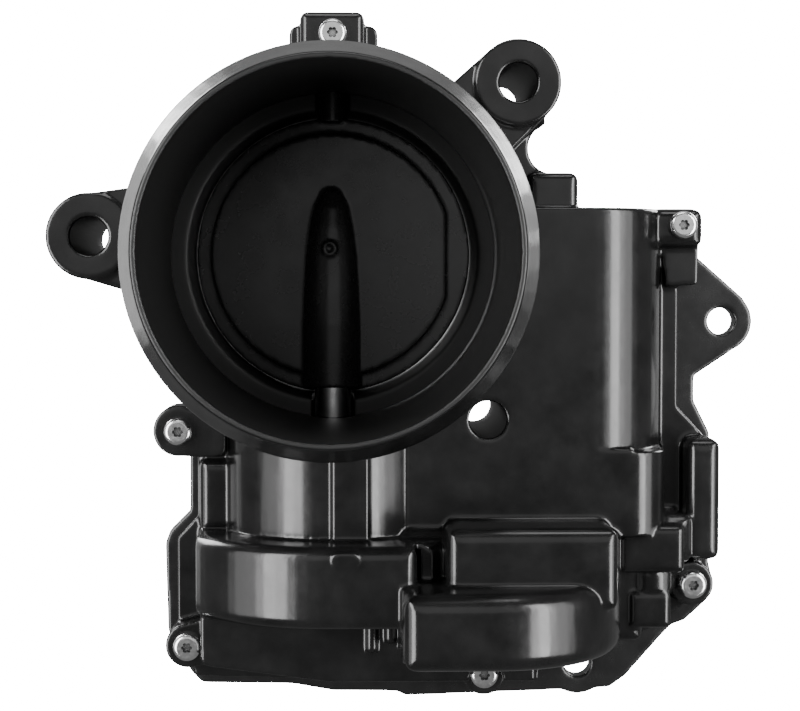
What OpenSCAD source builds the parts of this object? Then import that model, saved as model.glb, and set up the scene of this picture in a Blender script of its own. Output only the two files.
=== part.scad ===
// Electronic throttle body: two moulded shells, a throttle plate on a vertical shaft, and a motor
// with a two-stage spur reduction. Millimetres, +Z up along the shaft, +Y along the air flow.
// The origin is the bore axis in the plane of the manifold face, and the inlet opens towards -Y.

/* [Bore and plate] */
// Diameter of the throttle bore at the plate
bore_d = 60; // [50:0.5:72]
// Gap all round the shut plate
plate_gap = 0.15; // [0.1:0.05:0.3]
// Thickness of the plate at its rim
plate_t = 3; // [2:0.5:4]
// How far open the plate rests with no current
rest_angle = 6; // [4:1:8]
// Distance from the shaft axis to the manifold face
shaft_depth = 30; // [28:0.5:36]

/* [Inlet] */
// Wall from the throttle bore out to the outside of the inlet spigot
tube_wall = 9.6; // [9:0.2:12]
// Thickness of the spigot wall itself
spigot_wall = 4.3; // [3:0.1:5]
// Distance from the manifold face to the mouth of the spigot
inlet_len = 96; // [80:1:112]
// Length of the plain round stretch that the duct grips
grip_len = 32; // [26:1:36]
// Length of the taper at the mouth
nose_len = 8; // [4:0.5:10]
// How far the taper comes in
nose_in = 3.2; // [1:0.1:3.4]

/* [Mounting] */
// Diameter of the three long bolt holes
bolt_d = 8; // [6:0.5:9]
// Length of the three long bolt holes
ear_len = 51; // [45:1:56]
// Outer radius of the ears
ear_r = 9; // [8:0.5:10]
// Diameter of the two holes in the flange ears
flange_hole_d = 6; // [5:0.5:7]
// Thickness of the rear shell's flange
flange_t = 5; // [4:0.5:6]
// Wall of the moulded covers
wall = 2; // [1.6:0.1:2.4]

/* [Shaft and bearings] */
// Diameter of the steel shaft
shaft_d = 8; // [7:0.1:9.6]
// Outer diameter of the lower ball bearing
bearing_od = 19; // [15.8:0.1:20]
// Outer diameter of the upper plain bush
bush_od = 11; // [10:0.5:12]
// Diameter of the moulded upper journal
journal_d = 6; // [5:0.5:7]
// Radial clearance of each running fit
run_gap = 0.03; // [0.01:0.01:0.08]

/* [Gears] */
// Teeth of the pinion
z_pinion = 11; // [11:1:13]
// Teeth of the large wheel
z_wheel = 51; // [48:1:54]
// Module of the first stage
m_first = 0.8; // [0.76:0.02:0.84]
// Teeth of the small gear
z_small = 23; // [20:1:25]
// Teeth of the whole circle that the sector is cut from
z_sector = 60; // [56:1:62]
// Module of the second stage
m_second = 1; // [0.95:0.01:1.03]
// Play between teeth along the pitch circle
backlash = 0.14; // [0.1:0.02:0.24]
// Face width of the sector
sector_w = 8; // [6:0.5:10]
// Face width of the large wheel
wheel_w = 7; // [5:0.5:8]

/* [Motor] */
// Diameter of the motor can
motor_d = 29; // [26:0.1:34.8]
// Length of the motor can
motor_len = 43; // [36:0.5:46]
// Diameter of the motor shaft
motor_shaft_d = 3; // [2.5:0.1:3.5]

/* [Connector] */
// Width of the plug socket
socket_w = 27; // [24:1:30]
// Height of the plug socket
socket_h = 12; // [10:1:14]
// Number of blades in the socket
blades = 6; // [4:1:6]

/* [Hidden] */

$fn = 96;
eps = 0.01;
bore_r = bore_d / 2;
tube_r = bore_r + tube_wall;
tube_in_r = tube_r - spigot_wall;
shaft_y = -shaft_depth;
split_y = shaft_y;
shaft_r = shaft_d / 2;

// Levels down the shaft: bottom of the inlet tube, top of the gear bay, and the bay's floor
z_body = -(tube_r + 1.4);
z_gear = z_body - 17.7;
sector_top = z_gear - 3;
wheel_top = sector_top - sector_w - 1.5;
wheel_bottom = wheel_top - wheel_w;
board_z = wheel_bottom - 2.4;
z_floor = board_z - 10.4;
can_bottom = z_body + 4.4;
can_top = can_bottom + motor_len;
z_top = can_top + 1.6 + wall;
low_z = z_gear - 24.8;
low_x = 46;

// Axes of the motor and of the intermediate gear, from the two centre distances
motor_r = motor_d / 2;
motor_x = tube_r + 0.9 + motor_r;
motor_y = shaft_y - 1.5;
far_dist = (z_sector + z_small) * m_second / 2;
near_dist = (z_wheel + z_pinion) * m_first / 2;
gap_dist = sqrt(pow(motor_x, 2) + pow(motor_y - shaft_y, 2));
along = (pow(far_dist, 2) - pow(near_dist, 2) + pow(gap_dist, 2)) / (2 * gap_dist);
aside = sqrt(pow(far_dist, 2) - pow(along, 2));
line_x = motor_x / gap_dist;
line_y = (motor_y - shaft_y) / gap_dist;
mid_x = along * line_x + aside * line_y;
mid_y = shaft_y + along * line_y - aside * line_x;
to_mid = atan2(mid_y - shaft_y, mid_x);
to_motor = atan2(motor_y - mid_y, motor_x - mid_x);
sector_r = (z_sector / 2 + 1) * m_second;
wheel_r = (z_wheel / 2 + 1) * m_first;
bay_r = sector_r + 0.5;
wheel_bay_r = wheel_r + 0.6;
small_bay_r = (z_small / 2 + 1) * m_second + 0.6;
wheel_left = mid_x - wheel_bay_r - 1.1;
pressure = 25;

// Ends of the sector, counted from the shaft, so that it meshes over the whole travel
sector_from = to_mid - rest_angle - 4.5;
sector_to = to_mid + 90 - rest_angle + 4.5;

// Places of the three long bolt holes, as a distance from the bore axis and an angle
ears = [
    [tube_r + 10.85, 175.6],
    [tube_r + 13.2, 42.7],
    [tube_r + 8.15, -46.6]
];
function ear_x(i) = ears[i][0] * cos(ears[i][1]);
function ear_z(i) = ears[i][0] * sin(ears[i][1]);

// Right-hand edge of the motor bay and the places that follow it
right = motor_x + motor_r + wall;
flange_holes = [[right + 14.2, -14.4], [mid_x + 17.1, z_floor + 0.6]];
screw_x = [0.1, -33.1, right + 3.8, right + 6.4, mid_x - 4.4, -31.4];
screw_z = [tube_r + 7.6, z_body + 3.3, 6.5, z_gear - 12.5, z_floor + 0.5, z_floor + 6.8];
head_y = split_y - 9;
screw_d = 3;
screw_head_d = 6;
face_y = motor_y - motor_r - wall;
low_face_y = face_y + 1;

// Cylinder along Y, then along Z, and a box given by its limits
module ycyl(x, z, r, y0, y1) {
    translate([x, y1, z])
        rotate([90, 0, 0])
            cylinder(r = r, h = y1 - y0);
}

module zcyl(x, y, r, z0, z1) {
    translate([x, y, z0])
        cylinder(r = r, h = z1 - z0);
}

module span(x0, x1, y0, y1, z0, z1) {
    translate([x0, y0, z0])
        cube([x1 - x0, y1 - y0, z1 - z0]);
}

// A flat outline in X and Z, raised from y0 to y1
module yplate(y0, y1) {
    translate([0, y1, 0])
        rotate([90, 0, 0])
            linear_extrude(y1 - y0)
                children();
}

// A flat outline in X and Y, raised from z0 to z1
module zplate(z0, z1) {
    translate([0, 0, z0])
        linear_extrude(z1 - z0)
            children();
}

// A rectangle with round corners, by its limits
module rounded(x0, x1, z0, z1, r) {
    translate([x0 + r, z0])
        square([x1 - x0 - 2 * r, z1 - z0]);
    translate([x0, z0 + r])
        square([x1 - x0, z1 - z0 - 2 * r]);
    for (x = [x0 + r, x1 - r], z = [z0 + r, z1 - r])
        translate([x, z])
            circle(r);
}

// A block with every edge rounded, by its limits
module pillow(x0, x1, y0, y1, z0, z1, r) {
    intersection() {
        yplate(y0, y1)
            rounded(x0, x1, z0, z1, r);
        zplate(z0, z1)
            rounded(x0, x1, y0, y1, r);
        translate([x0, 0, 0])
            rotate([90, 0, 90])
                linear_extrude(x1 - x0)
                    rounded(y0, y1, z0, z1, r);
    }
}

// A cylinder along Z with both rims rounded
module drum(x, y, r, z0, z1, round_r) {
    translate([x, y, z0])
        rotate_extrude() {
            square([r - round_r, z1 - z0]);
            translate([0, round_r])
                square([r, z1 - z0 - 2 * round_r]);
            for (z = [round_r, z1 - z0 - round_r])
                translate([r - round_r, z])
                    circle(round_r, $fn = 32);
        }
}

// A straight web between two points in X and Z, as wide as given at each end
module web(x0, z0, x1, z1, w0, w1, y0, y1) {
    a = atan2(z1 - z0, x1 - x0);
    l = norm([x1 - x0, z1 - z0]);
    yplate(y0, y1)
        translate([x0, z0])
            rotate(a)
                polygon([[0, -w0], [l, -w1], [l, w1], [0, w0]]);
}

// Involute gear outline. Each tooth is widest at the root and centred on its own angle.
function involute(a) = tan(a) * 180 / PI - a;
function flank(z, m, r) =
    90 / z - backlash / (z * m) * 90 / PI + involute(pressure)
    - involute(acos(min(1, z * m / 2 * cos(pressure) / max(r, z * m / 2 * cos(pressure)))));
function tooth(z, m, centre) =
    let (
        root = z * m / 2 - 1.25 * m,
        base = z * m / 2 * cos(pressure),
        tip = z * m / 2 + 0.95 * m,
        first = max(root, base),
        steps = [for (i = [0:4]) first + (tip - first) * i / 4],
        radii = root < base ? concat([root], steps) : steps,
        n = len(radii)
    )
    concat(
        [for (i = [0:n - 1]) radii[i] * [
            cos(centre - flank(z, m, radii[i])), sin(centre - flank(z, m, radii[i]))]],
        [for (i = [n - 1:-1:0]) radii[i] * [
            cos(centre + flank(z, m, radii[i])), sin(centre + flank(z, m, radii[i]))]]
    );

module gear(z, m, phase, w) {
    linear_extrude(w)
        polygon([for (i = [0:z - 1]) each tooth(z, m, phase + i * 360 / z)]);
}

// Everything that the front shell shows, before it is hollowed
module front_solid() {
    spigot_solid();
    ear_solids();
    motor_bay_solid();
    barrel_solid();
    gear_bay_solid();
    front_flange();
    screw_tabs();
}

module spigot_solid() {
    translate([0, split_y, 0])
        rotate([90, 0, 0])
            rotate_extrude($fn = 128)
                polygon([
                    [tube_in_r - 1, 0],
                    [tube_r + shoulder, 0],
                    [tube_r + shoulder, inlet_len - shaft_depth - nose_len - grip_len],
                    [tube_r, inlet_len - shaft_depth - nose_len - grip_len],
                    [tube_r, inlet_len - shaft_depth - nose_len],
                    [tube_r - nose_in, inlet_len - shaft_depth],
                    [tube_in_r - 1, inlet_len - shaft_depth]
                ]);
}

shoulder = 0.8;

// Front end of each long hole: two ears stand proud, the third hole opens in the flat of the body
ear_front = [-ear_len, -ear_len, face_y];
ear_draft = [0.9, 0.9, 0];
module ear_column(i) {
    translate([ear_x(i), 0, ear_z(i)])
        rotate([90, 0, 0])
            cylinder(r1 = ear_r + ear_draft[i], r2 = ear_r, h = -ear_front[i]);
}

module ear_solids() {
    for (i = [0:2])
        ear_column(i);
    web(ear_x(0), ear_z(0), -tube_r + 3, ear_z(0) - 1, ear_r, ear_r + 3, -ear_len + 0.8, -18);
    web(ear_x(1), ear_z(1), tube_r * 0.72, tube_r * 0.66, ear_r, ear_r + 0.4, -ear_len + 0.8, split_y);
    yplate(-41, split_y)
        difference() {
            polygon([
                [ear_x(1) - 10, z_top + 5], [ear_x(1) - 8, ear_z(1) - 4],
                [ear_x(1) + 6.5, ear_z(1) - 6.5], [ear_x(1) + 9, z_top + 5]
            ]);
            translate([ear_x(1) + 8.4, ear_z(1) - 13])
                circle(5.4);
        }
    web(ear_x(2), ear_z(2), tube_r * 0.6, -tube_r * 0.66, ear_r, ear_r + 3, face_y, split_y);
}

module motor_bay_solid() {
    span(16, motor_x + 0.5, face_y, split_y, z_body - 1, z_top);
    drum(motor_x, motor_y, right - motor_x, z_body - 2, z_top, 0.6);
    span(16, low_corner_x, face_y, split_y, z_gear - 1, z_body);
    zcyl(low_corner_x, face_y + corner_r, corner_r, z_gear - 1, z_body - 0.5);
    span(low_corner_x, low_corner_x + corner_r, face_y + corner_r, split_y, z_gear - 1, z_body - 0.5);
    pillow(ear_x(1) + 2.7, ear_x(1) + 13.2, face_y + 2, split_y, z_top - 3, z_top + 7.4, 1.8);
    pillow(right + 4.8, right + 12, -42, split_y + 3, z_gear - 7, z_body + 1.6, 2.4);
}
corner_r = 8;
bump_round = 2.6;
wheel_round = 3.6;
bump_x = mid_x - 4.2;
low_corner_x = motor_x + 8.5;

module barrel_solid() {
    drum(0, split_y, 23.5, z_gear - 1, z_body + 12, 1);
    yplate(-54.6, split_y)
        rounded(0, 7.6, z_gear - 2, z_body + 6, 0.5);
    span(-28, -23, -35, split_y, z_gear - 1, z_body - 2);
    pillow(-29, -21, -36.5, split_y, z_gear - 1, z_body - 3, 2.2);
}

module gear_bay_solid() {
    sector_bump();
    wheel_bump();
    pillow(mid_x - small_bay_r - 0.6, mid_x + 21.5, mid_y - small_bay_r - 1.6, split_y + 5,
        z_gear - 14, z_gear + 2.9, 2.6);
    pillow(14, mid_x + 23.8, -50.5, split_y + 5, low_z, z_gear + 1, 3);
    yplate(low_face_y, split_y)
        polygon([
            [-28, z_gear - 2], [-28, z_floor + 5.5], [-27.4, z_floor + 4.4], [-26, z_floor + 3.9],
            [0, z_floor + 0.4], [low_x - 3, z_floor + 0.4], [low_x - 3, z_gear - 2]
        ]);
    for (x = [7.2, 11.2])
        pillow(x, x + 2.2, low_face_y - 1.2, split_y, z_gear - 25.5 + (x - 7) / 2, z_gear - 10, 0.7);
    pillow(10, motor_x + 12, -41.5, split_y + 3, low_z, z_gear - 2, 2.5);
    pillow(motor_x - 10, right + 6, -43.5, split_y + 3, z_gear - 8, z_gear + 3.3, 3.5);
    pillow(motor_x + 6, right + 3.6, -46.5, split_y + 3, z_gear - 9, z_gear + 1.2, 1.6);
    zcyl(right - 2.4, split_y - 7, 5.8, z_gear - 13.5, z_gear - 9.6);
    pillow(right - 7.6, right + 1.4, -42.5, split_y + 3, z_gear - 21.6, z_gear - 13.6, 1.4);
}

module sector_bump() {
    pillow(-bump_round, 17.4, split_y - bay_r - 1.7, split_y + 5, z_gear - 17.8, z_gear - 0.7, bump_round);
    intersection() {
        drum(0, split_y, bay_r + 1.7, z_gear - 17.8, z_gear - 0.7, bump_round);
        union() {
            zplate(z_gear - 18, z_gear)
                rounded(-29, 17, -80, split_y + 10, 3);
            span(-26, 32, -56, split_y, z_gear - 18, z_gear);
        }
    }
    yplate(split_y - bay_r - 2, split_y)
        rounded(0, 5.6, z_gear - 4.8, z_gear - 1.6, 1.5);
}

module wheel_bump() {
    pillow(wheel_left, bump_x + wheel_round, mid_y + 3.2 - wheel_bay_r - 6.4, split_y + 3,
        z_gear - 24.5, z_gear - 8.8, wheel_round);
    intersection() {
        drum(bump_x, mid_y + 3.2, wheel_bay_r + 6.4, z_gear - 24.5, z_gear - 8.8, wheel_round);
        zplate(z_gear - 25, z_gear - 8)
            rounded(wheel_left, mid_x + 34, -100, split_y + 3, 3);
    }
}

// Outline of the front shell where it meets the rear shell
module front_flange() {
    yplate(split_y - 3.5, split_y) {
        polygon([
            [-29.5, z_body + 8], [-29.5, z_gear + 2], [-34, z_gear - 3], [-34, z_floor + 8],
            [-30, z_floor - 1], [16, z_floor - 2.5], [low_x - 1, z_floor - 2.5],
            [low_x + 0.5, low_z - 1], [right - 6, low_z - 1], [right + 2, z_gear - 21],
            [right + 9.5, z_gear - 15], [right + 9.5, z_body + 2],
            [right + 4, z_body + 8], [right + 4, z_top - 1], [12, z_top], [12, z_body + 12]
        ]);
        circle(tube_r + 2);
    }
}

module screw_tabs() {
    pillow(-6.9, 6.9, head_y, split_y + 4, tube_r - 4, tube_r + 12.4, 1.8);
    pillow(right - 3, screw_x[2] + 4.6, head_y, split_y + 4, screw_z[2] - 4.8, screw_z[2] + 3.6, 2.4);
    yplate(head_y, split_y) {
        translate([screw_x[1], screw_z[1]])
            circle(5.5);
        rounded(screw_x[1], -23, z_body - 2.2, z_body + 8, 1.5);
        for (i = [3, 4, 5])
            translate([screw_x[i], screw_z[i]])
                circle(4.8);
    }
    yplate(split_y - 4, split_y)
        rounded(-9.3, 9.8, tube_r - 4, tube_r + 10, 2);
    web(screw_x[5], screw_z[5], -26, z_floor + 8, 4.8, 5, head_y, split_y);
    web(screw_x[3], screw_z[3], right - 2, z_gear - 8, 4.8, 6, head_y + 2.5, split_y);
    web(screw_x[4], screw_z[4], screw_x[4], z_floor + 8, 4.8, 6, head_y, split_y);
    web(screw_x[2], 2, screw_x[2] + 0.5, -6.5, 4, 3.4, split_y - 6.5, split_y);
}

// Room for the gears, and for the motor, shared by both shells
module gear_room() {
    intersection() {
        zcyl(0, shaft_y, bay_r, wheel_top, sector_top + 0.8);
        span(-29 + wall, bay_r, -90, -0.8, wheel_top - 1, sector_top + 1);
    }
    zcyl(0, shaft_y, 14, board_z - 1, sector_top + 0.8);
    zcyl(mid_x, mid_y, wheel_bay_r, wheel_bottom - 1, wheel_top + 0.7);
    zcyl(mid_x, mid_y, small_bay_r, wheel_top, sector_top + 0.8);
    span(-26, low_x - 5, low_face_y + wall, split_y + 1, low_z + wall / 2, wheel_bottom);
    span(-26, low_x - 5, split_y, split_y + 10, z_floor + 5, wheel_bottom);
    span(-26, motor_x + 9.5, split_y - 9.5, split_y + 10, low_z + wall / 2, wheel_bottom);
    span(10, motor_x + 9.5, split_y - 9.5, split_y + 10, wheel_bottom - 1, z_gear - 9);
}

module motor_room() {
    zcyl(motor_x, motor_y, motor_r + 0.3, z_body + 0.6, z_top - wall);
    zcyl(motor_x, motor_y, 8.5, z_gear - 10, z_body + 1);
}

module shaft_room() {
    zcyl(0, shaft_y, bush_od / 2, tube_in_r + 0.7, tube_in_r + 7.7);
    zcyl(0, shaft_y, journal_d / 2 + 0.4, bore_r - 1, tube_in_r + 8.7);
    zcyl(0, shaft_y, 8.5, seal_z - 3, seal_z);
    zcyl(0, shaft_y, bearing_od / 2, bearing_z - 6, bearing_z);
    zcyl(0, shaft_y, shaft_r + 0.5, z_gear - 5, 1 - bore_r);
    zcyl(0, shaft_y, 21, sector_top + 0.8, bearing_z - 6 - 1);
}
seal_z = -tube_in_r - 0.7;
bearing_z = seal_z - 3.5;

module screw_holes(r, y0, y1) {
    for (i = [0:5])
        ycyl(screw_x[i], screw_z[i], r, y0, y1);
}

module front_housing() {
    color([0.07, 0.07, 0.075])
        difference() {
            intersection() {
                front_solid();
                union() {
                    span(-90, right + 60, -120, split_y, z_floor - 30, tube_r + 40);
                    for (i = [0:2])
                        ear_column(i);
                    span(-80, -tube_r - 1.5, -60, -18, -20, 30);
                }
            }
            ycyl(0, 0, tube_in_r, -inlet_len - 1, split_y + 1);
            for (i = [0:2])
                ycyl(ear_x(i), ear_z(i), bolt_d / 2, -ear_len - 1, 1);
            gear_room();
            motor_room();
            shaft_room();
            seal_strip();
            screw_holes(screw_d / 2 + 0.15, -80, split_y + 1);
            screw_holes(screw_head_d / 2 + 0.6, -80, head_y);
            zcyl(mid_x, mid_y, 2.5, z_gear - 24, wheel_bottom);
            zcyl(mid_x, mid_y, 2.5, sector_top, z_gear - 0.5);
        }
}

// Outline of the rear shell's flange, with two ears
module rear_outline() {
    polygon([
        [-31.5, z_body - 3], [-31.5, z_gear + 2.7], [-36, z_gear - 1.8], [-37, z_gear - 4.5],
        [-36.5, z_gear - 24], [-31.5, z_gear - 33], [-29, z_gear - 35.6], [-9, z_gear - 36],
        [0, z_gear - 37.6], [14, z_gear - 37.8], [16, z_gear - 38.8], [mid_x + 21, z_gear - 37.4],
        [mid_x + 24.3, z_gear - 37.1], [mid_x + 27.8, z_gear - 34.6], [right + 1, z_gear - 26],
        [right + 3.5, z_gear - 23.3], [right + 6.6, z_gear - 22.2], [right + 11.8, z_gear - 17.4],
        [right + 12.8, z_gear - 13.3], [right + 11.8, z_gear - 9], [right + 11.8, z_body + 2],
        [right + 8.3, z_body + 9], [right + 8.3, z_body + 15], [right + 8.3, z_top - 1],
        [tube_r - 4, z_top + 1], [-20, z_body + 12]
    ]);
    polygon([
        [right + 4, 4], [flange_holes[0][0] + 5, flange_holes[0][1] + 5],
        [flange_holes[0][0] + 2, flange_holes[0][1] - 6.8], [right + 6, -28]
    ]);
    for (hole = flange_holes)
        translate(hole)
            circle(6.85);
    translate([screw_x[1], screw_z[1]])
        circle(4.8);
    circle(tube_r - 1);
    rounded(-9.3, 9.8, tube_r - 4, tube_r + 10, 2);
}

module rear_covers() {
    yplate(split_y, 1)
        rounded(-30, bay_r + wall, wheel_bottom - 3, z_gear - 0.2, 2.5);
    yplate(split_y, split_y + 12) {
        rounded(-30, low_x, z_floor + 1, z_gear - 2, 3);
        rounded(-30, motor_x + 12, low_z, z_body + 2, 3);
    }
    intersection() {
        drum(motor_x, motor_y, motor_r + wall, z_body - 1, z_top, 1);
        span(motor_x - 30, motor_x + 30, split_y, 10, z_gear, z_top);
    }
    intersection() {
        drum(0, split_y, 23.5, z_gear - 1, z_body + 12, 1);
        span(-30, 30, split_y, 10, z_gear - 2, z_body + 12);
    }
}

// Socket of the plug, behind the lower left of the gear bay
socket_x = -10;
socket_z = z_floor + 7;
socket_y = 12;
module socket_shape(grow) {
    rounded(socket_x - socket_w / 2 - grow, socket_x + socket_w / 2 + grow,
        socket_z - socket_h / 2 - grow, socket_z + socket_h / 2 + grow, 2 + grow);
}

module rear_housing() {
    color([0.08, 0.08, 0.085])
        difference() {
            union() {
                yplate(split_y, split_y + flange_t)
                    rear_outline();
                ycyl(0, 0, tube_r - 1.5, split_y, 0);
                rear_covers();
                yplate(split_y + 10, socket_y)
                    socket_shape(wall);
            }
            ycyl(0, 0, bore_r, split_y - 1, 1);
            translate([0, split_y + 2, 0])
                rotate([90, 0, 0])
                    cylinder(r1 = bore_r, r2 = bore_r + 2.2, h = 2.2);
            ycyl(0, 0, bore_r + 1, -18, 1);
            manifold_groove();
            for (i = [0:2])
                ycyl(ear_x(i), ear_z(i), ear_r + ear_draft[i] + 0.3, split_y - 1, 1);
            span(-80, -tube_r - 1.2, -40, -15, -20, 30);
            for (hole = flange_holes)
                ycyl(hole[0], hole[1], flange_hole_d / 2, split_y - 1, split_y + flange_t + 1);
            gear_room();
            motor_room();
            shaft_room();
            screw_holes(screw_d / 2, split_y - 1, split_y + flange_t + 1);
            yplate(split_y + 12, socket_y + 1)
                socket_shape(0);
            for (i = [0:blades - 1])
                span(blade_x(i) - 1, blade_x(i) + 1, split_y + 8, split_y + 14,
                    socket_z - 0.5, socket_z + 0.5);
        }
}

// Seal in a groove of the manifold face, a little under flush
groove_r = tube_r - 5;
module manifold_groove() {
    difference() {
        ycyl(0, 0, groove_r + 1.5, -2.4, 1);
        ycyl(0, 0, groove_r - 1.5, -3, 2);
    }
}

module manifold_seal() {
    color([0.5, 0.16, 0.05])
        difference() {
            ycyl(0, 0, groove_r + 1.5, -2.4, -0.05);
            ycyl(0, 0, groove_r - 1.5, -3, 1);
        }
}

// Seal between the two shells: a strip from the tube's left round both bays to its right
module seal_outline(inset) {
    rounded(-29 + inset, low_x - 2 - inset, z_floor + 2.6 + inset, z_body - inset, 2.5);
    rounded(-29 + inset, motor_x + 11.4 - inset, low_z + 0.1 + inset, z_body - inset, 2.5);
    rounded(0, right - 0.3 - inset, z_gear - 7 + inset, z_top - 0.8 - inset, 2.5);
}

module seal_strip() {
    yplate(split_y - 0.8, split_y)
        difference() {
            seal_outline(0);
            seal_outline(0.8);
            translate([-27, z_body - 6])
                square([motor_x - 8 + 27, 100]);
            translate([-50, z_body - 3])
                square([50, 100]);
        }
}

module housing_seal() {
    color([0.45, 0.2, 0.1])
        seal_strip();
}

module upper_bearing() {
    color([0.72, 0.55, 0.3])
        difference() {
            zcyl(0, shaft_y, bush_od / 2, tube_in_r + 0.7, tube_in_r + 7.7);
            zcyl(0, shaft_y, journal_d / 2 + run_gap, tube_in_r, tube_in_r + 9);
        }
}

module lower_bearing() {
    color([0.75, 0.76, 0.78])
        difference() {
            zcyl(0, shaft_y, bearing_od / 2, bearing_z - 6, bearing_z);
            zcyl(0, shaft_y, shaft_r + run_gap, bearing_z - 7, bearing_z + 1);
            for (z = [bearing_z - 0.5, bearing_z - 6])
                difference() {
                    zcyl(0, shaft_y, bearing_od / 2 - 1.6, z, z + 0.5);
                    zcyl(0, shaft_y, shaft_r + 1.6, z - 1, z + 1);
                }
        }
}

module shaft_seal() {
    color([0.3, 0.12, 0.06])
        difference() {
            zcyl(0, shaft_y, 8.5, seal_z - 3, seal_z);
            zcyl(0, shaft_y, shaft_r + run_gap + 0.02, seal_z - 4, seal_z + 1);
            zcyl(0, shaft_y, shaft_r + 2, seal_z - 4, seal_z - 1.5);
        }
}

module housing_screws() {
    color([0.78, 0.78, 0.76])
        for (i = [0:5])
            difference() {
                union() {
                    ycyl(screw_x[i], screw_z[i], screw_d / 2, head_y - 0.1, split_y + flange_t - 0.5);
                    translate([screw_x[i], head_y, screw_z[i]])
                        rotate([90, 0, 0])
                            rotate_extrude($fn = 48) {
                                square([screw_head_d / 2 - 1, 2.4]);
                                square([screw_head_d / 2, 1.4]);
                                translate([screw_head_d / 2 - 1, 1.4])
                                    circle(1, $fn = 24);
                            }
                }
                for (k = [0:5])
                    ycyl(screw_x[i] + 0.75 * cos(k * 60), screw_z[i] + 0.75 * sin(k * 60), 0.42,
                        head_y - 4, head_y - 0.7);
                ycyl(screw_x[i], screw_z[i], 0.85, head_y - 4, head_y - 0.7);
            }
}

// What turns with the throttle shaft is drawn in place and turned to the rest angle
module at_rest() {
    translate([0, shaft_y, 0])
        rotate([0, 0, -rest_angle])
            children();
}

plate_r = bore_r - plate_gap;
hub = [[0, 16.5], [1.5, 16], [3.2, 13.8], [4.4, 10.4], [5.2, 6], [5.9, 0], [6.3, -8], [6.5, -15]];
module throttle_plate() {
    color([0.1, 0.1, 0.1])
        at_rest()
            difference() {
                union() {
                    ycyl(0, 0, plate_r, -plate_t / 2, plate_t / 2);
                    difference() {
                        ycyl(0, 0, plate_r - 3.4, -plate_t / 2 - 0.8, 0);
                        span(plate_r - 5, plate_r, -10, 0, -12, 12);
                    }
                    difference() {
                        ycyl(0, 1.5, 1.65, -6.25, -3);
                        ycyl(0, 1.5, 0.9, -7, -5.6);
                    }
                    rotate_extrude($fn = 64)
                        polygon(concat(hub, [[6.5, 1.2 - plate_r], [0, 1.2 - plate_r]]));
                    intersection() {
                        zcyl(0, 0, journal_d / 2, plate_r - 6, tube_in_r + 7.2);
                        union() {
                            zcyl(0, 0, journal_d / 2, plate_r - 0.8, tube_in_r + 8);
                            span(-4, 4, -plate_t / 2, 4, plate_r - 7, plate_r);
                        }
                    }
                }
                zcyl(0, 0, shaft_r, -plate_r - 1, 4);
            }
}

module throttle_shaft() {
    color([0.8, 0.8, 0.8])
        at_rest()
            zcyl(0, 0, shaft_r, wheel_top + 0.5, 4);
}

module sector_gear() {
    color([0.85, 0.83, 0.76])
        translate([0, shaft_y, 0])
            difference() {
                union() {
                    intersection() {
                        translate([0, 0, sector_top - sector_w])
                            gear(z_sector, m_second, to_mid, sector_w);
                        sector_wedge();
                    }
                    zcyl(0, 0, 9, sector_top - sector_w, sector_top);
                }
                zcyl(0, 0, shaft_r, sector_top - sector_w - 1, sector_top + 1);
                difference() {
                    zcyl(0, 0, sector_r - 5, sector_top - 2.5, sector_top + 1);
                    zcyl(0, 0, 9, sector_top - 9, sector_top + 2);
                }
            }
}

module sector_wedge() {
    a0 = sector_from;
    a1 = sector_to;
    translate([0, 0, sector_top - sector_w - 1])
        linear_extrude(sector_w + 2)
            polygon(concat([[0, 0]], [for (i = [0:8])
                2 * sector_r * [cos(a0 + (a1 - a0) * i / 8), sin(a0 + (a1 - a0) * i / 8)]]));
}

module sensor_magnet() {
    color([0.25, 0.25, 0.28])
        at_rest()
            difference() {
                zcyl(0, 0, 6, wheel_bottom + 0.5, sector_top - sector_w);
                zcyl(0, 0, shaft_r, wheel_top + 0.5, sector_top);
            }
}

// Torsion spring, wound round its guide
spring_r = 15;
wire_r = 0.8;
turns = 4;
spring_top = bearing_z - 8.6;
spring_pitch = (spring_top - sector_top - 2.6) / turns;
function ring(t) = [for (k = [0:7])
    let (a = t * 360, r = spring_r + wire_r * cos(k * 45))
    [r * cos(a), r * sin(a), spring_top - spring_pitch * t + wire_r * sin(k * 45)]];
module return_spring() {
    steps = turns * 20;
    color([0.6, 0.6, 0.58])
        translate([0, shaft_y, 0])
            polyhedron(
                points = [for (i = [0:steps]) each ring(i / 20)],
                faces = concat(
                    [[for (k = [0:7]) k]],
                    [for (i = [0:steps - 1], k = [0:7])
                        [i * 8 + k, (i + 1) * 8 + k, (i + 1) * 8 + (k + 1) % 8, i * 8 + (k + 1) % 8]],
                    [[for (k = [7:-1:0]) steps * 8 + k]]
                )
            );
}

module spring_guide() {
    color([0.8, 0.78, 0.7])
        translate([0, shaft_y, 0])
            difference() {
                union() {
                    zcyl(0, 0, 12.5, sector_top, bearing_z - 8);
                    zcyl(0, 0, 18.5, sector_top, sector_top + 1.2);
                }
                zcyl(0, 0, shaft_r, sector_top - 1, z_body + 9);
                difference() {
                    zcyl(0, 0, 10.5, sector_top + 3, z_body + 9);
                    zcyl(0, 0, shaft_r + 2, sector_top, z_body + 10);
                }
            }
}

module gear_pin() {
    color([0.8, 0.8, 0.8])
        zcyl(mid_x, mid_y, 2.5, z_gear - 23.5, z_gear - 0.8);
}

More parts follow.
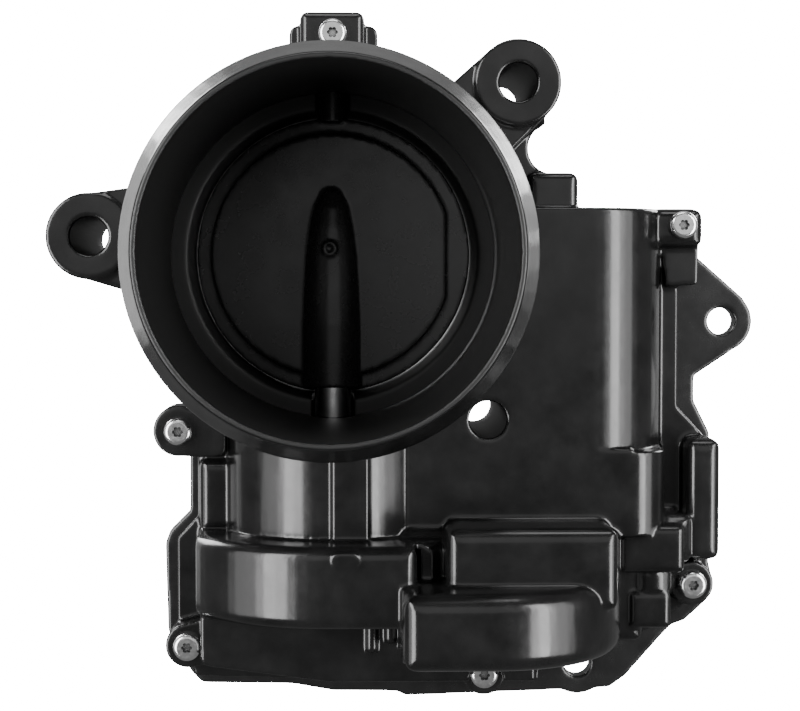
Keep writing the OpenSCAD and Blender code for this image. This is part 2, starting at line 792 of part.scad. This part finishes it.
module intermediate_gear() {
    color([0.88, 0.86, 0.8])
        translate([mid_x, mid_y, 0])
            difference() {
                union() {
                    translate([0, 0, wheel_bottom])
                        gear(z_wheel, m_first, to_motor, wheel_w);
                    translate([0, 0, wheel_top - 0.5])
                        gear(z_small, m_second, to_mid + 180 + 180 / z_small, sector_top - wheel_top + 0.5);
                }
                zcyl(0, 0, 2.5 + run_gap, wheel_bottom - 1, sector_top + 1);
                for (z = [wheel_bottom - 1, wheel_top - 1.8])
                    difference() {
                        zcyl(0, 0, wheel_r - 4, z, z + 2.8);
                        zcyl(0, 0, 9, z - 1, z + 4);
                    }
            }
}

module at_motor() {
    translate([motor_x, motor_y, 0])
        children();
}

module motor_can() {
    color([0.72, 0.73, 0.74])
        at_motor()
            difference() {
                zcyl(0, 0, motor_r, can_bottom, can_top);
                zcyl(0, 0, motor_r - 1.4, can_bottom - 1, can_top - 1.4);
                zcyl(0, 0, 4, can_bottom, can_top + 1);
            }
}

// The brush holder closes the can at the drive end and carries the leads
module motor_end_cap() {
    color([0.16, 0.16, 0.17])
        at_motor()
            difference() {
                union() {
                    zcyl(0, 0, motor_r, can_bottom - 2.4, can_bottom);
                    zcyl(0, 0, motor_r - 1.4, can_bottom - 1, can_bottom + 6.5);
                }
                zcyl(0, 0, 4, can_bottom - 3, can_bottom + 1);
                zcyl(0, 0, 9, can_bottom, can_bottom + 7);
                lead_holes(0.8);
                for (y = screw_at)
                    zcyl(0, y, 1, can_bottom - 3, can_bottom - 0.5);
            }
}

screw_at = [-6, 6];
lead_at = [-3, 3];
module lead_holes(r) {
    for (y = lead_at)
        zcyl(6.5, y, r, can_bottom - 5, can_bottom - 1);
}

module motor_plate() {
    color([0.75, 0.76, 0.77])
        at_motor()
            difference() {
                zcyl(0, 0, motor_r, can_bottom - 3.8, can_bottom - 2.4);
                zcyl(0, 0, 4, can_bottom - 5, can_bottom);
                lead_holes(1.4);
                for (y = screw_at)
                    zcyl(0, y, 1.2, can_bottom - 5, can_bottom);
            }
}

// Two sintered bushes: one in the drive end, one in the far end of the can
module motor_bush() {
    color([0.72, 0.52, 0.28])
        at_motor()
            difference() {
                union() {
                    zcyl(0, 0, 4, can_bottom - 3.8, can_bottom);
                    zcyl(0, 0, 4, can_top - 3.6, can_top);
                }
                zcyl(0, 0, motor_shaft_d / 2 + run_gap, can_bottom - 5, can_top - 0.5);
            }
}

module motor_magnets() {
    color([0.2, 0.2, 0.22])
        at_motor()
            intersection() {
                difference() {
                    zcyl(0, 0, motor_r - 1.4, can_bottom + 8, can_top - 5);
                    zcyl(0, 0, motor_r - 4.2, can_bottom, can_top);
                }
                union() {
                    span(-motor_r, motor_r, 4, motor_r, can_bottom, can_top);
                    span(-motor_r, motor_r, -motor_r, -4, can_bottom, can_top);
                }
            }
}

module motor_brushes() {
    color([0.3, 0.28, 0.26])
        at_motor()
            for (side = [0, 180])
                rotate([0, 0, side])
                    span(4.05, 8.8, -1.5, 1.5, can_bottom + 1.5, can_bottom + 5);
}

module motor_screws() {
    color([0.78, 0.78, 0.76])
        at_motor()
            for (y = screw_at) {
                zcyl(0, y, 1, can_bottom - 4, can_bottom - 0.5);
                zcyl(0, y, 1.9, can_bottom - 5, can_bottom - 3.8);
            }
}

// Wave washer that presses the motor down on its shelf
module motor_spring() {
    color([0.7, 0.7, 0.7])
        at_motor()
            difference() {
                zcyl(0, 0, motor_r - 2, can_top, z_top - wall);
                zcyl(0, 0, motor_r - 5, can_top - 1, z_top);
            }
}

module armature() {
    color([0.62, 0.32, 0.16])
        at_motor()
            difference() {
                union() {
                    zcyl(0, 0, motor_r - 4.8, can_bottom + 11, can_top - 8);
                    zcyl(0, 0, motor_r - 6.5, can_bottom + 7.5, can_top - 5);
                }
                zcyl(0, 0, motor_shaft_d / 2, can_bottom, can_top);
                for (k = [0:4])
                    rotate([0, 0, k * 72])
                        span(motor_r - 6, motor_r, -0.8, 0.8, can_bottom + 10, can_top - 7);
            }
}

module commutator() {
    color([0.75, 0.42, 0.22])
        at_motor()
            difference() {
                zcyl(0, 0, 4, can_bottom + 0.8, can_bottom + 7.5);
                zcyl(0, 0, motor_shaft_d / 2, can_bottom, can_top);
            }
}

module motor_shaft() {
    color([0.8, 0.8, 0.8])
        at_motor()
            zcyl(0, 0, motor_shaft_d / 2, wheel_bottom - 0.6, can_top - 0.8);
}

module pinion() {
    color([0.78, 0.6, 0.3])
        at_motor()
            difference() {
                translate([0, 0, wheel_bottom - 0.4])
                    gear(z_pinion, m_first, to_motor + 180 + 180 / z_pinion, wheel_w + 0.8);
                zcyl(0, 0, motor_shaft_d / 2, wheel_bottom - 2, wheel_top + 2);
            }
}

// Board under the gears. The chip looks up at the magnet, the leads go to the motor.
module sensor_board() {
    color([0.1, 0.32, 0.18])
        span(-24, motor_x + 8.5, split_y - 7, split_y + 8, board_z - 1.6, board_z);
}

module sensor_chip() {
    color([0.13, 0.13, 0.13])
        span(-3, 3, shaft_y - 3, shaft_y + 3, board_z, board_z + 1.2);
}

function blade_x(i) = socket_x + (i - (blades - 1) / 2) * 4;
module connector_terminals() {
    color([0.75, 0.7, 0.5])
        for (i = [0:blades - 1]) {
            span(blade_x(i) - 1, blade_x(i) + 1, split_y + 5, socket_y - 4, socket_z - 0.4, socket_z + 0.4);
            span(blade_x(i) - 1, blade_x(i) + 1, split_y + 5, split_y + 5.8, socket_z, board_z - 1.6);
        }
}

module motor_terminals() {
    color([0.75, 0.5, 0.3])
        at_motor()
            for (y = lead_at)
                zcyl(6.5, y, 0.8, board_z, can_bottom - 1);
}

front_housing();
rear_housing();
housing_seal();
manifold_seal();
upper_bearing();
lower_bearing();
shaft_seal();
housing_screws();
throttle_plate();
throttle_shaft();
sector_gear();
sensor_magnet();
return_spring();
spring_guide();
gear_pin();
intermediate_gear();
motor_can();
motor_end_cap();
motor_plate();
motor_bush();
motor_magnets();
motor_brushes();
motor_screws();
motor_spring();
armature();
commutator();
motor_shaft();
pinion();
motor_terminals();
sensor_board();
sensor_chip();
connector_terminals();
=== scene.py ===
import bpy
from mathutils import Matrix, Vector

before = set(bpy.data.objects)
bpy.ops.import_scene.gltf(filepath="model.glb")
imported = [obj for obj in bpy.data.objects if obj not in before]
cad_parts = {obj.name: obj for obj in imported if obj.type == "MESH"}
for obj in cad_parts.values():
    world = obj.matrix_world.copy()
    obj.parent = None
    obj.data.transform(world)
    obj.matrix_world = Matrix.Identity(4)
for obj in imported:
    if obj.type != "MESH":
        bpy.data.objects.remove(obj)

MM = 0.001


def write_size():
    """Update the view layer, before and after the looks are made."""
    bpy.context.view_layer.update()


write_size()

# --- camera: looks down the inlet, a little off its axis ---------------------------------
EYE = Vector((4.2, -426, -4.2)) * MM
LENS, SENSOR = 81.1, 36.0
AIM_RIGHT, AIM_DOWN = 0.0266, 0.0447
CLIP_NEAR, CLIP_FAR = 0.01, 20


def make_camera():
    data = bpy.data.cameras.new("camera")
    data.lens, data.sensor_width = LENS, SENSOR
    data.clip_start, data.clip_end = CLIP_NEAR, CLIP_FAR
    camera = bpy.data.objects.new("camera", data)
    camera.location = EYE
    ahead = Vector((AIM_RIGHT, 1, -AIM_DOWN))
    camera.rotation_euler = ahead.to_track_quat("-Z", "Y").to_euler()
    bpy.context.scene.collection.objects.link(camera)
    bpy.context.scene.camera = camera


make_camera()

# --- backdrop and lights -----------------------------------------------------------------
# PAPER is bright enough to come out pure white; AMBIENT is what the part itself gets
PAPER, AMBIENT = 24, 0.18
PAPER_GREY = 0.9
FLOOR_Y, FLOOR_HALF = 1.3, 3.0
AIM = (0, -0.03, 0)

# Two soft boxes and two wide panels beside the camera, one box above and a fill in front,
# two lamps for the back, and three cards behind the part for its rim
LIGHTS = (
    # name, place (m), size (m), power (W)
    ("left_box", (-0.52, -0.6, 0.04), (0.3, 0.9), 10),
    ("left_wide", (-0.72, -0.42, 0.02), (0.52, 0.8), 3.5),
    ("right_box", (0.54, -0.61, 0.04), (0.22, 0.9), 8),
    ("right_wide", (0.66, -0.46, 0.02), (0.4, 0.8), 4),
    ("top_box", (0.0, -0.25, 0.9), (0.6, 0.3), 2.5),
    ("front_fill", (0.12, -1.2, 0.32), (1.2, 0.8), 1.7),
    ("back_left", (-0.9, 0.85, 0.75), (0.7, 0.5), 15),
    ("back_right", (0.95, 0.8, 0.55), (0.6, 0.5), 12),
    ("left_card", (-0.62, 0.56, 0.15), (0.5, 0.8), 1.8),
    ("right_card", (0.62, 0.56, 0.2), (0.5, 0.7), 1.2),
    ("top_card", (0.0, 0.56, 0.66), (0.9, 0.45), 0.6),
)


def area_light(name, place, size, power):
    data = bpy.data.lights.new(name, "AREA")
    data.shape, data.size, data.size_y, data.energy = "RECTANGLE", size[0], size[1], power
    lamp = bpy.data.objects.new(name, data)
    lamp.location = place
    lamp.rotation_euler = (Vector(AIM) - Vector(place)).to_track_quat("-Z", "Y").to_euler()
    bpy.context.scene.collection.objects.link(lamp)


def make_world():
    """White to the camera, dim to everything else."""
    world = bpy.data.worlds.new("studio")
    bpy.context.scene.world = world
    world.use_nodes = True
    tree = world.node_tree
    dim = tree.nodes["Background"]
    dim.inputs["Color"].default_value = (1, 1, 1, 1)
    dim.inputs["Strength"].default_value = AMBIENT
    bright = tree.nodes.new("ShaderNodeBackground")
    bright.inputs["Strength"].default_value = PAPER
    seen = tree.nodes.new("ShaderNodeLightPath")
    either = tree.nodes.new("ShaderNodeMixShader")
    tree.links.new(seen.outputs["Is Camera Ray"], either.inputs["Fac"])
    tree.links.new(dim.outputs[0], either.inputs[1])
    tree.links.new(bright.outputs[0], either.inputs[2])
    tree.links.new(either.outputs[0], tree.nodes["World Output"].inputs["Surface"])


def make_floor():
    """An upright sheet of white paper behind the part, which adds no light to it."""
    mesh = bpy.data.meshes.new("floor")
    y, half = FLOOR_Y, FLOOR_HALF
    corners = [(-half, y, -half), (half, y, -half), (half, y, half), (-half, y, half)]
    mesh.from_pydata(corners, [], [(0, 1, 2, 3)])
    floor = bpy.data.objects.new("floor", mesh)
    bpy.context.scene.collection.objects.link(floor)
    white = bpy.data.materials.new("paper")
    white.use_nodes = True
    shader = white.node_tree.nodes["Principled BSDF"]
    shader.inputs["Base Color"].default_value = (PAPER_GREY, PAPER_GREY, PAPER_GREY, 1)
    shader.inputs["Roughness"].default_value = 1.0
    shader.inputs["Emission Color"].default_value = (1, 1, 1, 1)
    shader.inputs["Emission Strength"].default_value = PAPER
    mesh.materials.append(white)
    floor.visible_glossy = False
    floor.visible_diffuse = False


for light in LIGHTS:
    area_light(*light)
make_world()
make_floor()

# --- materials ---------------------------------------------------------------------------


class Surface:
    """A procedural material in object space: noise drives its colour, roughness and bump."""

    def __init__(self, name, metallic=0.0):
        self.material = bpy.data.materials.new(name)
        self.material.use_nodes = True
        self.tree = self.material.node_tree
        self.shader = self.tree.nodes["Principled BSDF"]
        self.shader.inputs["Metallic"].default_value = metallic
        self.place = self.tree.nodes.new("ShaderNodeTexCoord").outputs["Object"]

    def node(self, kind, **settings):
        node = self.tree.nodes.new(kind)
        for key, value in settings.items():
            setattr(node, key, value)
        return node

    def link(self, start, end):
        self.tree.links.new(start, end)

    def noise(self, size_mm, detail=3.0, roughness=0.55):
        """Grey noise whose lumps are about size_mm across."""
        noise = self.node("ShaderNodeTexNoise")
        noise.inputs["Scale"].default_value = 1 / (size_mm * MM)
        noise.inputs["Detail"].default_value = detail
        noise.inputs["Roughness"].default_value = roughness
        self.link(self.place, noise.inputs["Vector"])
        return noise.outputs["Fac"]

    def spread(self, value, low, high, start=0.3, stop=0.7):
        """The value, stretched from start..stop to low..high."""
        ramp = self.node("ShaderNodeMapRange")
        ends = {"From Min": start, "From Max": stop, "To Min": low, "To Max": high}
        for key, number in ends.items():
            ramp.inputs[key].default_value = number
        self.link(value, ramp.inputs["Value"])
        return ramp.outputs["Result"]

    def math(self, operation, first, second=None):
        """One Math node; each input is a number or a socket."""
        node = self.node("ShaderNodeMath", operation=operation)
        for socket, value in zip(node.inputs, (first, second)):
            if value is None:
                continue
            if isinstance(value, (int, float)):
                socket.default_value = value
            else:
                self.link(value, socket)
        return node.outputs[0]

    def mix(self, factor, first, second):
        """Colour between two colours; each is a tuple or a socket."""
        mix = self.node("ShaderNodeMix", data_type="RGBA")
        self.link(factor, mix.inputs["Factor"])
        colour_a, colour_b, result = mix.inputs[6], mix.inputs[7], mix.outputs[2]
        for socket, value in ((colour_a, first), (colour_b, second)):
            if isinstance(value, tuple):
                socket.default_value = (*value, 1)
            else:
                self.link(value, socket)
        return result

    def axes(self):
        """The X, Y and Z sockets of the place on the surface."""
        parts = self.node("ShaderNodeSeparateXYZ")
        self.link(self.place, parts.inputs[0])
        return parts.outputs

    def inside(self, centre, radius_mm, soft_mm=0.4):
        """One inside a round hole along Y, nought outside it, with a soft edge."""
        x, _, z = self.axes()
        dx = self.math("SUBTRACT", x, centre[0] * MM)
        dz = self.math("SUBTRACT", z, centre[1] * MM)
        squares = [self.math("MULTIPLY", d, d) for d in (dx, dz)]
        far = self.math("SQRT", self.math("ADD", *squares))
        return self.spread(far, 1, 0, (radius_mm - soft_mm) * MM, (radius_mm + soft_mm) * MM)

    def bump(self, height, strength, depth_mm, before=None):
        """The surface normal after a bump, on top of the bump before it."""
        bump = self.node("ShaderNodeBump")
        bump.inputs["Strength"].default_value = strength
        bump.inputs["Distance"].default_value = depth_mm * MM
        self.link(height, bump.inputs["Height"])
        if before:
            self.link(before, bump.inputs["Normal"])
        return bump.outputs["Normal"]

    def finish(self, colour, roughness, normal):
        self.link(colour, self.shader.inputs["Base Color"])
        self.link(roughness, self.shader.inputs["Roughness"])
        self.link(normal, self.shader.inputs["Normal"])
        return self.material


def grey(value):
    return (value, value, value)


# The inlet tube and the three long bolt holes, inside which shade is painted on the shells,
# as radii and X, Z centres in mm
TUBE_R, HOLE_R = 36.4, 4.1
HOLE_EDGE = 0.25
LEFT_HOLE, TOP_HOLE, LOW_HOLE = (-50.301, 3.870), (38.803, 35.807), (32.808, -34.694)
DULL = 0.5  # roughness inside them


def moulded(name, dark, light, rough, holes, shadow):
    """Glass-filled black plastic: cloudy flow marks, fine grain, dull inside the bores,
    where the colour is also darkened as painted shade.
    """
    s = Surface(name)
    cloud = s.spread(s.noise(9, 4), 0, 1, 0.35, 0.68)
    colour = s.mix(cloud, grey(dark), grey(light))
    gloss = s.spread(s.noise(5, 5, roughness=0.65), rough[0], rough[1])
    mask = s.inside((0, 0), TUBE_R)
    for centre in holes:
        mask = s.math("MAXIMUM", mask, s.inside(centre, HOLE_R, HOLE_EDGE))
    # painted shade: the walls of the inlet tube and the bolt holes are darkened to the
    # shadow colour
    colour = s.mix(mask, colour, grey(shadow))
    gloss = s.math("MAXIMUM", gloss, s.math("MULTIPLY", mask, DULL))
    grain = s.bump(s.noise(0.5, 2), 0.1, 0.06)
    wave = s.bump(s.noise(7, 2), 0.08, 0.3, grain)
    return s.finish(colour, gloss, wave)


def plain(name, low, high, rough, size_mm, metallic=0.0, grain=(0.4, 0.1, 0.05)):
    """Two tones in noise of one size, with a varied roughness and a fine grain.

    grain is the size in mm, the strength and the depth in mm of the bump.
    """
    s = Surface(name, metallic)
    colour = s.mix(s.spread(s.noise(size_mm, 4), 0, 1), low, high)
    gloss = s.spread(s.noise(size_mm * 0.6, 5), rough[0], rough[1])
    size, strength, depth = grain
    return s.finish(colour, gloss, s.bump(s.noise(size, 3), strength, depth))


RECESS_REACH = 1.4  # mm that the painted shade in the screw's recess looks around


def screw_steel():
    """Bright zinc, with painted shade: darker in the six-lobe recess and under the head."""
    s = Surface("screw_zinc", 1.0)
    recess_occlusion = s.node("ShaderNodeAmbientOcclusion", samples=8, only_local=True)
    recess_occlusion.inputs["Distance"].default_value = RECESS_REACH * MM
    unshaded_part = s.spread(recess_occlusion.outputs["AO"], 0, 1, 0.35, 0.8)
    tone = s.mix(s.spread(s.noise(1.2, 4), 0, 1), grey(0.72), grey(0.92))
    # painted shade: where occlusion is high the colour turns near black
    colour = s.mix(unshaded_part, grey(0.06), tone)
    gloss = s.spread(s.noise(0.7, 4), 0.14, 0.26)
    return s.finish(colour, gloss, s.bump(s.noise(0.25), 0.12, 0.02))


SHEET = 0.25  # mm thickness of one sheet of the motor's core
SHEET_LINE = (0.02, 0.07)  # mm over which the gap between two sheets fades


def laminated():
    """Stack of steel sheets: thin dark lines across the motor axis."""
    s = Surface("laminations", 0.9)
    z = s.axes()[2]
    sheet = s.math("PINGPONG", z, SHEET * MM)
    line = s.spread(sheet, 0, 1, SHEET_LINE[0] * MM, SHEET_LINE[1] * MM)
    colour = s.mix(line, grey(0.08), grey(0.42))
    return s.finish(colour, s.spread(s.noise(2), 0.32, 0.5), s.bump(line, 0.4, 0.05))


SMOOTH_GRAIN = (0.2, 0.05, 0.01)
PLATE_GRAIN = (0.5, 0.04, 0.04)
RUBBER_GRAIN = (0.3, 0.2, 0.04)
CAST_GRAIN = (0.3, 0.1, 0.02)
HOLES = [LEFT_HOLE, TOP_HOLE, LOW_HOLE]

# Shells: dark, light, roughness, holes, shadow
SHELLS = {
    "front_plastic": (0.0035, 0.009, (0.16, 0.25), HOLES, 0.001),
    "rear_plastic": (0.006, 0.011, (0.2, 0.3), [], 0.003),
}

# The rest: low, high, roughness, lump size in mm, then metallic and grain where they differ
PLAIN = {
    "plate_plastic": (grey(0.013), grey(0.019), (0.22, 0.3), 9, 0.0, PLATE_GRAIN),
    "polished_steel": (grey(0.72), grey(0.86), (0.08, 0.16), 3, 1.0, SMOOTH_GRAIN),
    "bearing_steel": (grey(0.5), grey(0.66), (0.18, 0.3), 3, 1.0),
    "seal_rubber": (grey(0.012), grey(0.025), (0.6, 0.78), 2, 0.0, RUBBER_GRAIN),
    "green_rubber": ((0.01, 0.06, 0.03), (0.02, 0.1, 0.05), (0.5, 0.65), 3),
    "gear_nylon": ((0.62, 0.58, 0.47), (0.74, 0.71, 0.6), (0.38, 0.5), 5),
    "dark_nylon": (grey(0.02), grey(0.035), (0.38, 0.52), 4),
    "spring_steel": (grey(0.32), grey(0.48), (0.25, 0.4), 2, 1.0),
    "brass": ((0.62, 0.42, 0.14), (0.78, 0.57, 0.24), (0.22, 0.36), 2, 1.0),
    "motor_zinc": (grey(0.44), grey(0.6), (0.28, 0.42), 5, 1.0, CAST_GRAIN),
    "end_resin": ((0.03, 0.018, 0.01), (0.06, 0.035, 0.02), (0.45, 0.6), 3),
    "sintered": ((0.3, 0.2, 0.1), (0.42, 0.29, 0.16), (0.45, 0.6), 0.8, 1.0),
    "ferrite": (grey(0.035), grey(0.06), (0.55, 0.75), 1.5),
    "carbon": (grey(0.02), grey(0.05), (0.5, 0.7), 0.6),
    "copper": ((0.7, 0.27, 0.13), (0.86, 0.4, 0.22), (0.2, 0.38), 2, 1.0),
    "tin": (grey(0.62), grey(0.76), (0.24, 0.36), 1.5, 1.0),
    "board_green": ((0.008, 0.07, 0.03), (0.012, 0.1, 0.045), (0.25, 0.38), 6),
    "chip_epoxy": (grey(0.015), grey(0.025), (0.45, 0.6), 0.8),
}

MATERIALS = {name: moulded(name, *values) for name, values in SHELLS.items()}
MATERIALS.update({name: plain(name, *values) for name, values in PLAIN.items()})
MATERIALS.update({"screw_zinc": screw_steel(), "laminations": laminated()})

# Each material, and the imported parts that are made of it
LOOKS = {
    "front_plastic": ["front_housing"],
    "rear_plastic": ["rear_housing"],
    "plate_plastic": ["throttle_plate"],
    "polished_steel": ["throttle_shaft", "gear_pin", "motor_shaft"],
    "screw_zinc": ["housing_screws", "motor_screws"],
    "bearing_steel": ["upper_bearing", "lower_bearing"],
    "seal_rubber": ["shaft_seal"],
    "green_rubber": ["housing_seal", "manifold_seal"],
    "gear_nylon": ["intermediate_gear"],
    "dark_nylon": ["sector_gear", "spring_guide"],
    "spring_steel": ["return_spring", "motor_spring"],
    "brass": ["pinion"],
    "motor_zinc": ["motor_can", "motor_plate"],
    "end_resin": ["motor_end_cap"],
    "sintered": ["motor_bush"],
    "ferrite": ["sensor_magnet", "motor_magnets"],
    "carbon": ["motor_brushes"],
    "copper": ["commutator"],
    "tin": ["motor_terminals", "connector_terminals"],
    "board_green": ["sensor_board"],
    "chip_epoxy": ["sensor_chip"],
    "laminations": ["armature"],
}


def dress(piece, look):
    piece.data.materials.clear()
    piece.data.materials.append(MATERIALS[look])


for look, nodes in LOOKS.items():
    for node in nodes:
        dress(bpy.data.objects[node], look)

# --- moulded edges: every corner of the shells and the plate is softened -----------------
# Grid size in mm and rounds of smoothing
MOULD = {
    "front_housing": (0.36, 9),
    "rear_housing": (0.36, 14),
    "throttle_plate": (0.32, 6),
}
SMOOTHING = 0.5


def soften(piece, voxel_mm, rounds):
    grid = piece.modifiers.new("grid", "REMESH")
    grid.mode, grid.voxel_size, grid.use_smooth_shade = "VOXEL", voxel_mm * MM, True
    relax = piece.modifiers.new("relax", "SMOOTH")
    relax.factor, relax.iterations = SMOOTHING, rounds


for name, (voxel, rounds) in MOULD.items():
    soften(bpy.data.objects[name], voxel, rounds)

write_size()
